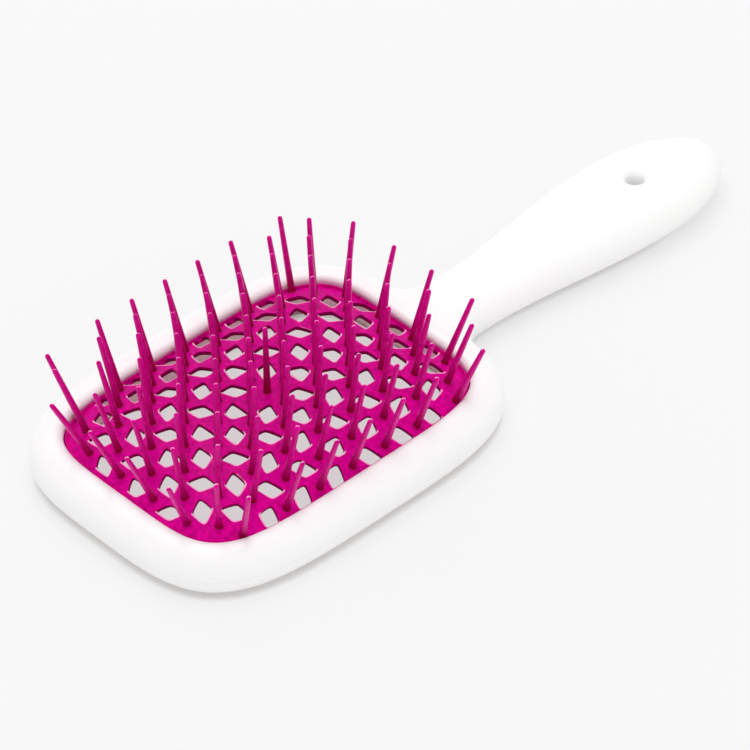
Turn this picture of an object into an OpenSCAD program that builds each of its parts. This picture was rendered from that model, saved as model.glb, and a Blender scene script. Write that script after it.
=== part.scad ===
// Vented detangling brush: an oval-cornered head ring with a paddle handle, moulded as a front and a back
// shell, that clamps a domed lattice pad carrying a field of long tapered pins.
// The back lies on Z = 0, the pins point up, the handle runs along +X, and the origin is under the middle of
// the whole brush. Outlines are worked out from the middle of the pad, and each node is moved to its place.

/* [Overall] */
// Length from the head's nose to the handle's end
brush_l = 205; // [190:1:225]
// Length of the head ring, measured along the brush
head_l = 108; // [104:1:114]
// Width of the head ring
head_w = 82; // [78:1:88]
// Height of the front shell's joint above the back
joint_z = 5.8; // [5:0.1:7]
// Height of the rim's crest above the joint
crest_h = 5.9; // [5:0.1:7]
// Width of the rim between its outer edge and the pad opening
rim_w = 9; // [8:0.1:10.5]

/* [Pad opening] */
// Depth of the opening's lip below the rim's crest
lip_drop = 1.2; // [0.6:0.1:2]
// Width of the rounding between the lip and the crest
lip_soft_w = 2.2; // [1:0.1:3]
// Thickness of the lip that the pad's flange bears on
lip_t = 3.6; // [3.2:0.1:3.9]
// How far the flange reaches under the lip
flange_reach = 2; // [1.2:0.1:3]
// Width of the round on the back shell's inner edge
back_soft_w = 1.6; // [0.8:0.1:2.5]
// Width of the flat that the head ring rests on
foot_w = 1; // [0.5:0.1:2]

/* [Handle] */
// Width of the neck
neck_w = 19.8; // [16:0.2:24]
// Radius of the fillet between the neck and the head
neck_fillet = 7.5; // [5:0.5:10]
// Greatest width of the handle
handle_w = 31; // [26:0.5:36]
// Height of the neck's crown above the joint
neck_h = 5.3; // [4.5:0.1:6.5]
// Height of the handle's crown above the joint, where the palm holds it
handle_h = 6.7; // [5.5:0.1:8]
// Length of the handle's round end, behind its widest place
end_l = 27; // [20:1:32]
// Height of the handle's crown above the joint near its end
end_h = 5; // [4:0.1:6]
// Height of the neck's underside above the table
neck_lift = 0.8; // [0:0.1:1.5]
// Height of the handle's underside above the table near its end
end_lift = 1.2; // [0:0.1:2]
// Wall of the hollow handle
wall = 2.2; // [1.8:0.1:3]
// Thickness of the ribs between the handle's chambers
rib_t = 1.8; // [1.2:0.1:3]

/* [Hanging eye] */
// Bore of the hanging eye
eye_d = 5; // [4:0.5:7]
// Distance of the eye from the handle's end
eye_inset = 27; // [22:1:32]
// Wall of the eye's sleeve
sleeve_wall = 1.8; // [1.2:0.1:2.5]
// Depth of the soft countersink round the eye
eye_soft = 1.2; // [0.6:0.1:2]

/* [Pad] */
// Pitch of the lattice along the brush, as a share of half the pad opening's length
pitch_l_share = 0.1156; // [0.1136:0.0004:0.116]
// Pitch of the lattice across the brush, as a share of half the pad opening's width
pitch_w_share = 0.1812; // [0.1784:0.0004:0.1816]
// Height of the pad's crown above the lip
dome_rise = 5.2; // [3:0.1:7]
// Fall of the pad from its crown to its edge
dome_fall = 6.5; // [6:0.1:7]
// Width of the plain band between the lattice and the lip at the nose
nose_band = 2.2; // [1.6:0.1:3.5]
// Width of the plain band between the lattice and the lip at the neck
neck_band = 1.3; // [1:0.1:3]
// Width of the plain band between the lattice and the lip at the two long sides
side_band = 0.9; // [0.9:0.1:1.5]
// Thickness of the pad
pad_t = 1; // [0.8:0.1:1.6]
// Thickness of the collar that lines the lip
collar_t = 0.6; // [0.5:0.05:0.65]
// Depth of the collar's top below the lip
collar_drop = 0.3; // [0.2:0.05:0.6]
// How far the skirt under the pad's edge stands inside the lip
skirt_inset = 0.4; // [0.2:0.1:0.6]
// Half the rib between an opening and its cell's edge
rib_half = 0.6; // [0.4:0.05:0.9]
// How far the lattice's corners are pushed off their square grid
corner_shift = 0.85; // [0.3:0.05:1.1]
// Size of the rounding in an opening's corners
corner_r = 0.8; // [0.4:0.1:1.1]

/* [Pins] */
// Length of a pin along its own axis
pin_l = 19.5; // [15:0.5:23]
// Diameter of a pin above its root fillet
pin_root_d = 1.9; // [1.5:0.1:2.3]
// Diameter of a pin at its rounded tip
pin_tip_d = 1.1; // [0.9:0.1:1.5]
// Size of the fillet at a pin's root
pin_fillet = 0.5; // [0.3:0.1:0.8]
// Lean of the outermost pins towards the nose, in degrees
nose_lean_angle = 24; // [10:1:30]
// Lean of the outermost pins towards the neck, in degrees
neck_lean_angle = 19; // [10:1:30]
// Lean of the outermost pins towards the head's two long sides, in degrees
side_lean_angle = 20; // [10:1:30]

/* [Fits] */
// Clearance of the pad in its opening
pad_clear = 0.25; // [0.15:0.05:0.4]
// Clearance of the sleeve and the pegs in their holes
peg_clear = 0.1; // [0.05:0.05:0.3]
// Diameter of the pegs that line the two shells up
peg_d = 2.4; // [1.8:0.1:3]
// Height of the pegs
peg_h = 3; // [2:0.1:4]

/* [Hidden] */
// How many cells each row of the lattice reaches to either side of the middle, row by row across the pad
row_reach_n = [6, 7, 8, 8, 8, 8, 8, 8, 8, 7, 6];
mid_row = (len(row_reach_n) + 1) / 2;
$fn = 32;
over = 1;
white = "#F4F3F1";
magenta = "#D4007F";

// Half sizes and stations of the outline
head_a = head_l / 2;
head_b = head_w / 2;
head_power = 3.7;
lip_a = head_a - rim_w;
lip_b = head_b - rim_w;
lip_power = 5;
section_power = 2.2;
tip_x = brush_l - head_a;
widest_x = tip_x - end_l;
eye_x = tip_x - eye_inset;
fillet_y = neck_w / 2 + neck_fillet;
fillet_x = oval_x(head_a, head_b, head_power, fillet_y) + neck_fillet;
fillet_angle = atan2(fillet_y / head_b, (fillet_x - neck_fillet) / head_a);
palm_share = 0.8;
palm_x = fillet_x + palm_share * (widest_x - fillet_x);
end_share = 0.72;
end_x = widest_x + end_share * end_l;

// Heights of the opening and the pad
lip_z = joint_z + crest_h - lip_drop;
seat_z = lip_z - lip_t;
crown_z = lip_z + dome_rise;
edge_z = crown_z - dome_fall;
collar_z = lip_z - collar_drop;
// Share of the collar's thickness by which its inner face leans
collar_draft_share = 0.3;
end_power = 3.5;
side_power = 2.6;
// Pitch of the lattice along the brush and across it
pitch_l = pitch_l_share * lip_a;
pitch_w = pitch_w_share * lip_b;

// Numbers of steps: round half the ring, along the handle, round its end, and across a section
ring_n = 48;
handle_n = 14;
end_n = 7;
lip_n = 3;
round_n = 5;
spoke_n = ring_n + handle_n + end_n;
chamber_n = 12;
chamber_steps = 4;
chambers_before_eye = 3;
soft_n = 4;
tip_n = 3;
// Steps of the dome from its middle to its edge, along the brush and across it
dome_nl = 10;
dome_nw = 7;

// Block round the eye, and the sleeve's end below the back shell's surface
eye_block = eye_d + 2 * sleeve_wall + 2 * wall;
sleeve_recess = 0.2;
// Directions of the ring's pegs, and their share of the way from the recess to the outline
peg_angles = [40, 90, 140];
peg_share = 0.4;
// Least height of the pad's underside above the joint
under_least = 0.2;
// Outermost places of the pins inside the lip, and how square their field's corners are
pin_nose_inset = 0.8 * pitch_l;
pin_neck_inset = 0.7 * pitch_l;
pin_side_inset = 0.4 * pitch_w;
pin_corner_power = 7;
// Share of a pitch by which the last pins of the two outermost rows stand further out
corner_pitch_share = 0.65;
end_lean_power = 4.3;
side_lean_power = 1.4;
// Half the distance over which the dome's slope is taken
slope_reach = 0.1;

// Moves what is drawn round the pad's middle to its place in the whole brush
module in_place() {
    translate([(head_l - brush_l) / 2, 0, 0]) children();
}

// Point of a superellipse in the direction phi
function oval(a, b, power, phi) =
    let (c = cos(phi), s = sin(phi), r = pow(pow(abs(c), power) + pow(abs(s), power), -1 / power))
    [a * r * c, b * r * s];
// Reach of a superellipse along its first axis at the height y
function oval_x(a, b, power, y) = a * pow(1 - pow(y / b, power), 1 / power);
// How far out the point p lies on the superellipses of one shape, where 1 is the one given
function oval_norm(a, b, power, p) =
    pow(pow(abs(p.x) / a, power) + pow(abs(p.y) / b, power), 1 / power);
// The point p, brought back to the superellipse where it lies outside
function tucked(a, b, power, p) = p / max(1, oval_norm(a, b, power, p));
// Soft step from a to b while t goes from 0 to 1
function eased(a, b, t) = a + (b - a) * (1 - cos(180 * min(1, max(0, t)))) / 2;
function mixed(a, b, t) = a + (b - a) * t;

// Direction of the ring's spoke i, from the nose at 180 degrees to the neck at 0
function ring_phi(i) = 180 * (1 - i / ring_n);
// Share of the handle's length at which spoke i stands, and share of its round end
function handle_share(i) = (i - ring_n) / handle_n;
function end_angle(i) = 90 * (i - ring_n - handle_n) / end_n;
// Half the handle's width at x
function handle_y(x) = eased(neck_w, handle_w, (x - fillet_x) / (widest_x - fillet_x)) / 2;

// Outer end of spoke i on the outline
function outer(i) =
    i <= ring_n ?
        let (phi = ring_phi(i), turn = 180 + 90 * (1 - phi / fillet_angle))
        phi >= fillet_angle ? oval(head_a, head_b, head_power, phi)
        : [fillet_x, fillet_y] + neck_fillet * [cos(turn), sin(turn)]
    : i <= ring_n + handle_n ?
        let (x = mixed(fillet_x, widest_x, pow(handle_share(i), 1.3))) [x, handle_y(x)]
    : [widest_x + end_l * sin(end_angle(i)), handle_w / 2 * cos(end_angle(i))];
// Inner end of spoke i: on the lip round the head, and on the centre line along the handle
function inner(i) =
    i <= ring_n ? oval(lip_a, lip_b, lip_power, ring_phi(i))
    : i <= ring_n + handle_n ?
        [mixed(lip_a + back_soft_w + foot_w, widest_x, pow((i - ring_n) / handle_n, 1.1)), 0]
    : [mixed(widest_x, end_x, sin(end_angle(i))), 0];
// Inner end of spoke i moved out of the opening by w, square to its lip
function stepped_out(i, w) =
    let (
        p = inner(i),
        g = [pow(abs(p.x) / lip_a, lip_power - 1) / lip_a * sign(p.x),
            pow(abs(p.y) / lip_b, lip_power - 1) / lip_b * sign(p.y)]
    )
    i <= ring_n ? p + w * g / norm(g) : p;
// Height of the crown above the joint, and depth of the underside below it, along the handle
function crown_at(x) =
    x < fillet_x ? eased(crest_h, neck_h, (x - lip_a) / (fillet_x - lip_a))
    : x < palm_x ? eased(neck_h, handle_h, (x - fillet_x) / (palm_x - fillet_x))
    : eased(handle_h, end_h, (x - palm_x) / (end_x - palm_x));
function keel_at(x) =
    x < fillet_x ? joint_z - eased(0, neck_lift, (x - lip_a) / (fillet_x - lip_a))
    : x < palm_x ? joint_z - eased(neck_lift, 0, (x - fillet_x) / (palm_x - fillet_x))
    : joint_z - eased(0, end_lift, (x - palm_x) / (end_x - palm_x));
// Half the handle's width at x, its round end included
function side_y(x) =
    x < widest_x ? handle_y(x) : handle_w / 2 * sqrt(1 - pow((x - widest_x) / end_l, 2));
// How far the dome has fallen at p, without regard to the lip's corners
function fall_at(p) = pow(abs(p.x) / lip_a, end_power) + pow(abs(p.y) / lip_b, side_power);
// Height of the pad's upper face at p, which comes down to one height all round its edge
function dome_z(p) =
    let (n = oval_norm(lip_a, lip_b, lip_power, p))
    n == 0 ? crown_z : crown_z - dome_fall * fall_at(p) / fall_at(p / n);
// Fall of the pad's upper face at p, along the brush and across it
function dome_slope(p) =
    [for (d = [[slope_reach, 0], [0, slope_reach]]) (dome_z(p - d) - dome_z(p + d)) / (2 * slope_reach)];
function with_z(p, z) = [p.x, p.y, z];

// Round from w outside the lip, or from the centre line, to the outline, with its crest at height h on
// one side (1 or -1) of the joint
function outer_round(i, w, side, h) =
    [for (k = [0:round_n]) let (t = 90 * k / round_n, e = 2 / section_power)
        with_z(mixed(stepped_out(i, w), outer(i), pow(sin(t), e)), joint_z + side * h * pow(cos(t), e))];
// Section of the front shell on spoke i: lip, crest, outer round, joint, flange recess and lip again
function front_section(i) =
    let (
        p = inner(i),
        ring = i <= ring_n,
        h = ring ? crest_h : crown_at(p.x),
        recess = oval(lip_a + flange_reach, lip_b + flange_reach, lip_power, ring_phi(i)),
        seam_x = mixed(lip_a + flange_reach, end_x, (i - ring_n) / (spoke_n - ring_n)),
        under_z = max(dome_z(p), seat_z) + pad_clear
    )
    concat(
        [for (k = [0:lip_n - 1]) let (t = 90 * k / lip_n)
            with_z(stepped_out(i, lip_soft_w * (1 - cos(t))), joint_z + h - lip_drop * (1 - sin(t)))],
        outer_round(i, lip_soft_w, 1, h),
        ring ? [with_z(recess, joint_z), with_z(recess, seat_z), with_z(p, under_z)]
        : [for (k = [0:2]) [seam_x, 0, joint_z]]
    );
// Section of the back shell on spoke i: inner round, foot, outer round and joint
function back_section(i) =
    let (p = inner(i), h = i <= ring_n ? joint_z : keel_at(p.x))
    concat(
        [for (k = [0:lip_n]) let (t = 90 * k / lip_n)
            with_z(stepped_out(i, back_soft_w * (1 - cos(t))), joint_z - h + back_soft_w * (1 - sin(t)))],
        outer_round(i, back_soft_w + foot_w, -1, h),
        [with_z(p, joint_z)]
    );

// Both halves of a shell from its sections on one side. Points on the centre line are shared. Round the ring
// each section closes on itself; along the handle it runs from point first, on the centre line, to point last,
// at the joint. Faces are split one way by the centre line and the other way further out, so that none lies
// in the middle plane.
module shell(sections, first, last, flip) {
    n = len(sections);
    w = len(sections[0]);
    half = [for (s = sections) each s];
    function id(side, i, k) = let (j = i * w + k) side == 1 && abs(half[j].y) > 0 ? n * w + j : j;
    strips = [
        for (i = [0:n - 2])
            for (k = i < ring_n ? [0:w - 1] : [first:last - 1])
                [i, k, (k + 1) % w]
    ];
    polyhedron(
        points = concat(half, [for (p = half) [p.x, -p.y, p.z]]),
        faces = [
            for (side = [0, 1])
                for (s = strips)
                    let (
                        q = [id(side, s[0], s[1]), id(side, s[0], s[2]),
                            id(side, s[0] + 1, s[2]), id(side, s[0] + 1, s[1])],
                        f = s[1] <= first ? [q[1], q[2], q[3], q[0]] : q
                    )
                    each (side == 1) != flip ?
                        [[f[0], f[1], f[2]], [f[0], f[2], f[3]]] : [[f[0], f[2], f[1]], [f[0], f[3], f[2]]]
        ]
    );
}

// Closed rings of points from the first to the last, with a fan of faces on each end
module lofted(rings) {
    n = len(rings[0]);
    last = len(rings) - 1;
    function middle(r) = [for (k = [1:n]) 1] * r / n;
    polyhedron(
        points = concat([for (r = rings) each r], [middle(rings[0]), middle(rings[last])]),
        faces = [
            for (k = [0:n - 1]) let (m = (k + 1) % n, pole = (last + 1) * n)
                each concat(
                    [[pole, m, k], [pole + 1, last * n + k, last * n + m]],
                    [for (i = [0:last - 1]) let (a = i * n + k, b = i * n + m)
                        each [[a, b, b + n], [a, b + n, a + n]]]
                )
        ]
    );
}

/* The two shells */

// Section of a handle chamber at x, on the front side (1) or the back side (-1) of the joint
function chamber_section(x, side) =
    let (w = side_y(x) - wall, h = (side > 0 ? crown_at(x) : keel_at(x)) - wall, e = 2 / section_power)
    concat(
        [[x, w, joint_z - side * over]],
        [for (k = [0:chamber_n]) let (t = 180 * k / chamber_n)
            [x, w * sign(cos(t)) * pow(abs(cos(t)), e), joint_z + side * h * pow(abs(sin(t)), e)]],
        [[x, -w, joint_z - side * over]]
    );
// Chambers that hollow the handle out, with ribs left between them and a solid block round the eye
module chambers(side) {
    front_x = fillet_x + wall;
    n = chambers_before_eye;
    pitch = (eye_x - eye_block / 2 - front_x + rib_t) / n;
    spans = concat(
        [for (j = [0:n - 1]) [front_x + j * pitch, front_x + (j + 1) * pitch - rib_t]],
        [[eye_x + eye_block / 2, tip_x - 2 * wall]]
    );
    for (s = spans) {
        sections = [for (k = [0:chamber_steps])
            chamber_section(mixed(s[0], s[1], k / chamber_steps), side)];
        lofted([for (k = [0:chamber_steps]) sections[side > 0 ? chamber_steps - k : k]]);
    }
}

// Places of the pegs: along the ring, in the neck and on both sides of the eye
peg_spots = concat(
    [for (side = [-1, 1]) for (phi = peg_angles)
        let (p = mixed(
            oval(lip_a + flange_reach, lip_b + flange_reach, lip_power, phi),
            oval(head_a, head_b, head_power, phi), peg_share))
        [p.x, side * p.y]],
    [[fillet_x, 0]],
    [for (side = [-1, 1]) [eye_x, side * (handle_w / 2 - wall - peg_d)]]
);

// Front half of the frame: the rim with its lip, the top of the handle and the sleeve of the hanging eye
module front_shell() {
    eye_top = joint_z + crown_at(eye_x);
    sleeve_end = joint_z - keel_at(eye_x) + sleeve_recess;
    color(white) in_place() difference() {
        union() {
            difference() {
                shell([for (i = [0:spoke_n]) front_section(i)], lip_n, lip_n + round_n + 1, true);
                chambers(1);
                for (p = peg_spots)
                    translate([p.x, p.y, joint_z - over])
                        cylinder(d = peg_d + 2 * peg_clear, h = peg_h + peg_clear + over);
            }
            translate([eye_x, 0, sleeve_end])
                cylinder(d = eye_d + 2 * sleeve_wall, h = joint_z + wall - sleeve_end);
        }
        translate([eye_x, 0, sleeve_end - over]) cylinder(d = eye_d, h = eye_top - sleeve_end + 2 * over);
        translate([eye_x, 0, eye_top]) rotate_extrude() soft_edge();
    }
}
// Profile that rounds the eye's upper edge
module soft_edge() {
    polygon(concat(
        [[0, over], [0, -eye_soft]],
        [for (k = [0:soft_n]) let (t = 90 * k / soft_n)
            [eye_d / 2 + eye_soft * (1 - cos(t)), eye_soft * (sin(t) - 1)]],
        [[eye_d / 2 + eye_soft, over]]
    ));
}

// Back half of the frame: the ring that carries the pad's flange, and the underside of the handle
module back_shell() {
    color(white) in_place() difference() {
        union() {
            difference() {
                shell([for (i = [0:spoke_n]) back_section(i)], lip_n + 1, lip_n + round_n + 2, false);
                chambers(-1);
            }
            for (p = peg_spots)
                translate([p.x, p.y, joint_z - wall]) cylinder(d = peg_d, h = wall + peg_h);
        }
        translate([eye_x, 0, -over])
            cylinder(d = eye_d + 2 * sleeve_wall + 2 * peg_clear, h = joint_z + 2 * over);
    }
}

/* The pad */

// Point of the grid that fills a superellipse, where u and v run from -1 to 1 along and across it
function grid_point(a, b, u, v) =
    let (m = max(abs(u), abs(v)))
    m == 0 ? [0, 0]
    : [a * u, b * v] * m / pow(pow(abs(u), lip_power) + pow(abs(v), lip_power), 1 / lip_power);
// Steps of that grid, closer together towards its edge
function steps(n) = [for (k = [-n:n]) sin(90 * k / n)];

// The pad without its openings: dome, collar inside the lip, flange between the shells, and underside
module pad_body() {
    us = steps(dome_nl);
    vs = steps(dome_nw);
    flange = flange_reach - pad_clear;
    least_z = joint_z + under_least;
    foot = -pad_clear - collar_t;
    top = [for (u = us) for (v = vs)
        let (p = grid_point(lip_a + foot, lip_b + foot, u, v)) with_z(p, dome_z(p))];
    under = [for (u = us) for (v = vs)
        let (p = grid_point(lip_a - skirt_inset, lip_b - skirt_inset, u, v))
            with_z(p, max(dome_z(p) - pad_t, least_z))];
    nu = 2 * dome_nl;
    nv = 2 * dome_nw;
    edge = concat(
        [for (i = [0:nu - 1]) [i, 0]], [for (j = [0:nv - 1]) [nu, j]],
        [for (i = [nu:-1:1]) [i, nv]], [for (j = [nv:-1:1]) [0, j]]
    );
    function loop(grow, z) =
        [for (e = edge) with_z(grid_point(lip_a + grow, lip_b + grow, us[e.x], vs[e.y]), z)];
    ne = len(edge);
    function at(side, i, j) = side * len(top) + i * (nv + 1) + j;
    function edge_id(s, k) =
        let (e = edge[k % ne])
        s == 0 ? at(0, e.x, e.y) : s == 7 ? at(1, e.x, e.y) : 2 * len(top) + (s - 1) * ne + k % ne;
    polyhedron(
        points = concat(
            top, under,
            loop(foot + collar_draft_share * collar_t, collar_z), loop(-pad_clear, collar_z),
            loop(-pad_clear, edge_z), loop(flange, seat_z),
            loop(flange, joint_z), loop(-skirt_inset, joint_z)),
        faces = concat(
            [for (side = [0, 1]) for (i = [0:nu - 1]) for (j = [0:nv - 1])
                let (
                    q = [at(side, i, j), at(side, i, j + 1), at(side, i + 1, j + 1), at(side, i + 1, j)],
                    f = side == 0 ? q : [q[3], q[2], q[1], q[0]]
                )
                each (i < dome_nl) == (j < dome_nw) ?
                    [[f[0], f[1], f[2]], [f[0], f[2], f[3]]] : [[f[1], f[2], f[3]], [f[1], f[3], f[0]]]],
            [for (s = [0:6]) for (k = [0:ne - 1])
                let (
                    a = edge_id(s, k), b = edge_id(s, k + 1),
                    c = edge_id(s + 1, k + 1), d = edge_id(s + 1, k)
                )
                each [[a, b, c], [a, c, d]]]
        )
    );
}

// Is this cell drawn with level sides at its two ends, as left and right of the middle?
function end_cell(m, r) = abs(m) - abs(r) > 2 || (abs(m) - abs(r) == 2 && abs(r) != 2);
// 1 where the knot line at n half pitches is pushed away from the middle, -1 where it is drawn in
function push(n) = floor(abs(n)) % 2 == 1 ? 1 : -1;
// Corner of the opening in cell m, r on its side sx, sy
function cell_corner(m, r, sx, sy) =
    let (
        i = m + sx / 2, j = r + sy / 2,
        shift = end_cell(m, r) ? [0, sign(j) * push(i)] : [sign(i) * push(j), 0],
        p = [i * pitch_l, j * pitch_w] + corner_shift * shift - rib_half * [sx, sy]
    )
    tucked(lip_a - (p.x > 0 ? neck_band : nose_band), lip_b - side_band, lip_power, p);
// Corner b of an outline, rounded between its neighbours a and c
function rounded(a, b, c) =
    let (s = b + (a - b) * corner_r / norm(a - b), e = b + (c - b) * corner_r / norm(c - b))
    [s, (s + 2 * b + e) / 4, e];
module opening(m, r) {
    c = [for (s = [[-1, -1], [1, -1], [1, 1], [-1, 1]]) cell_corner(m, r, s.x, s.y)];
    polygon([for (k = [0:3]) each rounded(c[(k + 3) % 4], c[k], c[(k + 1) % 4])]);
}

// Domed lattice of 84 openings, in a chequer with the cells that carry the pins
module lattice_pad() {
    color(magenta) in_place() difference() {
        pad_body();
        translate([0, 0, joint_z - over]) linear_extrude(crown_z - joint_z + 2 * over)
            for (i = [1:len(row_reach_n)]) let (r = i - mid_row, reach = row_reach_n[i - 1])
                for (m = [-reach:reach])
                    if ((m + r) % 2 == 0 && abs(m) + abs(r) > 0) opening(m, r);
    }
}

/* The pins */

// How many pitches from the middle the pin of cell m, r stands along its row
function pin_steps(m, r) =
    m + (abs(r) == mid_row - 1 && abs(m) == row_reach_n[0] ? sign(m) * corner_pitch_share : 0);
// Place of that pin on the pad, and its lean
function pin_spot(m, r) = tucked(
    lip_a - (m > 0 ? pin_neck_inset : pin_nose_inset), lip_b - pin_side_inset, pin_corner_power,
    [pin_steps(m, r) * pitch_l, r * pitch_w]
);
function pin_lean(m, r) = [
    -sign(r) * side_lean_angle * pow(abs(r) / (mid_row - 1), side_lean_power),
    (m > 0 ? neck_lean_angle : -nose_lean_angle)
        * pow(abs(pin_steps(m, r)) / max(row_reach_n), end_lean_power),
    0
];
// Turn that lays a level plane on the pad's upper face at p
function seat_turn(p) = let (s = dome_slope(p), t = atan(s.x)) [-atan(s.y * cos(t)), t, 0];

// A pin along +Z, with a flared foot that starts below the pad's surface
module pin_form() {
    r = pin_root_d / 2;
    t = pin_tip_d / 2;
    f = pin_fillet;
    rotate_extrude() polygon(concat(
        [[0, -pad_t / 2], [r + f, -pad_t / 2], [r + f, 0], [r + f / 3, f / 2], [r, 3 / 2 * f]],
        [for (k = [0:tip_n]) let (a = 90 * k / tip_n) [t * cos(a), pin_l - t + t * sin(a)]]
    ));
}
// Pin of cell m, r, cut off square to the pad where it stands
module pin(m, r) {
    p = pin_spot(m, r);
    w = pin_root_d + 2 * pin_fillet;
    translate(with_z(p, dome_z(p))) difference() {
        rotate(pin_lean(m, r)) pin_form();
        rotate(seat_turn(p)) translate([-w, -w, -w]) cube([2 * w, 2 * w, w]);
    }
}
module pin_row(i) {
    r = i - mid_row;
    reach = row_reach_n[i - 1];
    color(magenta) in_place() for (m = [-reach:reach])
        if ((m + r) % 2 != 0 || (m == 0 && r == 0)) pin(m, r);
}

front_shell();
back_shell();
lattice_pad();
for (i = [1:len(row_reach_n)]) pin_row(i);
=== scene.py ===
# %% [markdown]
# # A vented detangling brush
# A white frame with a rounded handle clamps a magenta domed lattice that carries a field of long pins. The
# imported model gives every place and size. Here its pieces get their finished shapes, materials and light.

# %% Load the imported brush
import math

import bmesh
import bpy
from mathutils import Matrix, Vector


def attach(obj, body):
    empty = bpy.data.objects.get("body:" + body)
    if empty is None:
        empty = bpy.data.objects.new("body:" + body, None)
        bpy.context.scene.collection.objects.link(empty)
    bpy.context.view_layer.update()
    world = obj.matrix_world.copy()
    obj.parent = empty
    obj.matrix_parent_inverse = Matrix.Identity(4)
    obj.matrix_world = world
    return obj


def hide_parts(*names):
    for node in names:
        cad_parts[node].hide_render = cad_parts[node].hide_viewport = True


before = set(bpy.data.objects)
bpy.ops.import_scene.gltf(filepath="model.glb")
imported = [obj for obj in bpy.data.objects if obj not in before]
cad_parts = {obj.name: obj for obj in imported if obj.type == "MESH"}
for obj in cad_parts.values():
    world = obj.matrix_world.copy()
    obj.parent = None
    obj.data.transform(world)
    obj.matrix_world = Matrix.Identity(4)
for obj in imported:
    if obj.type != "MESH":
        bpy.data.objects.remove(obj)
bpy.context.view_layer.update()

# %% [markdown]
# All sizes below are in millimetres, as a maker writes them, counted from the middle of the pad. Blender
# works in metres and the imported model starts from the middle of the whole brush, so one small function
# turns one into the other.

# %% Sizes of the brush
MM = 0.001
# points nearer to each other than this are one point
SAME = 0.002
# the whole brush and its head
BRUSH_L, HEAD_L, HEAD_W = 205, 108, 82
# half length, half width and power of the rounded outlines of the head and of the lip round the pad
HEAD_A, HEAD_B, HEAD_POWER = HEAD_L / 2, HEAD_W / 2, 3.7
LIP_A, LIP_B, LIP_POWER = 45, 32, 5
# heights of the shells' joint, the lip, the seat of the pad's flange and the top of the dome
JOINT_Z, LIP_Z, SEAT_Z, CROWN_Z = 5.8, 10.5, 6.9, 15.7
SHIFT_X = (HEAD_L - BRUSH_L) / 2


def place(x, y, z):
    """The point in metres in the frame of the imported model."""
    return Vector(((x + SHIFT_X) * MM, y * MM, z * MM))


print("middle of the pad:", place(0, 0, 0))

# %% [markdown]
# The photograph looks down on the brush from the near side of its head with a long lens, as product
# pictures are taken, so far pins are as thick as near ones. A camera could be placed by eye, but its angles
# were worked out from places that the photograph shows, and are written here as they came out.

# %% Camera
AZIMUTH, ELEVATION, ROLL = math.radians(42.87), math.radians(40.22), math.radians(1)
# how far the camera is from the lip's middle, and how far that lies left of and below the picture's middle
DISTANCE, SIDEWAYS, UPWARDS = 1108.2, 25.22, 7.85
# the lens is as long as this many of the picture's pixels are wide
FOCAL_PX, PICTURE_PX, SENSOR_W = 4704, 750, 36
ahead = Vector((math.sin(AZIMUTH) * math.cos(ELEVATION), math.cos(AZIMUTH) * math.cos(ELEVATION),
                -math.sin(ELEVATION)))
level = Vector((math.cos(AZIMUTH), -math.sin(AZIMUTH), 0))
upright = level.cross(ahead)
right = level * math.cos(ROLL) - upright * math.sin(ROLL)
up = level * math.sin(ROLL) + upright * math.cos(ROLL)

lens = bpy.data.cameras.new("product_lens")
camera = bpy.data.objects.new("product_camera", lens)
bpy.context.scene.collection.objects.link(camera)
lens.sensor_width = SENSOR_W
lens.lens = SENSOR_W * FOCAL_PX / PICTURE_PX
lens.clip_start, lens.clip_end = 0.05, 20
camera.matrix_world = Matrix((right, up, -ahead)).transposed().to_4x4()
camera.location = place(0, 0, LIP_Z) + (right * SIDEWAYS + up * UPWARDS - ahead * DISTANCE) * MM
bpy.context.scene.camera = camera
print("camera at", camera.location, "lens", round(lens.lens, 1), "mm")

# %% [markdown]
# Colours are picked as a screen shows them, in hex, and Blender's shaders want them in linear light. One
# function turns them. The others add shader nodes with their settings and what goes into them, so that a
# material can be read from top to bottom, as its node tree would be from left to right.

# %% Helpers for materials
def linear(code):
    """Linear colour of a hex code."""
    parts = [int(code[i:i + 2], 16) / 255 for i in (1, 3, 5)]
    return tuple(c / 12.92 if c <= 0.04045 else ((c + 0.055) / 1.055) ** 2.4 for c in parts) + (1.0,)


def new_material(name):
    """A material with nothing in it but its output."""
    material = bpy.data.materials.new(name)
    material.use_nodes = True
    material.node_tree.nodes.clear()
    return material, material.node_tree


def add_node(tree, kind, inputs, **settings):
    """A shader node with its settings, and its inputs given as values or as the sockets that feed them."""
    node = tree.nodes.new("ShaderNode" + kind)
    for name, value in settings.items():
        setattr(node, name, value)
    for name, value in inputs.items():
        if isinstance(value, bpy.types.NodeSocket):
            tree.links.new(value, node.inputs[name])
        else:
            node.inputs[name].default_value = value
    return node


def patches(tree, size, detail):
    """Noise on the object's own coordinates, whose patches are about this size in millimetres."""
    where = add_node(tree, "TexCoord", {})
    noise = add_node(tree, "TexNoise", {"Vector": where.outputs["Object"], "Scale": 1 / (size * MM),
                                        "Detail": detail})
    return noise.outputs["Fac"]


def climb(tree, value, start, end, low=0, high=1):
    """Goes from low to high while the value goes from start to end."""
    steps = add_node(tree, "MapRange", {"Value": value, "From Min": start, "From Max": end,
                                        "To Min": low, "To Max": high})
    return steps.outputs["Result"]


def mixed_colour(tree, factor, a, b):
    return add_node(tree, "Mix", {"Factor": factor, "A": a, "B": b}, data_type="RGBA").outputs["Result"]


print("magenta in linear light:", [round(c, 3) for c in linear("#C40082")])

# %% [markdown]
# The brush lies on plain white paper, which is a large plane with a matt material, hardly a shade uneven.
# Product pictures are evened out until the paper is nearly blank but for a thin soft shadow. A shader that
# only the camera sees does that: blank in the open, a painted grey shadow within two millimetres of the
# brush.
# Not all of it is mixed in, so that some of the paper's own soft shading stays.

# %% Paper
EVENED_OUT, SHADOW_W = 0.58, 2.2


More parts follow.
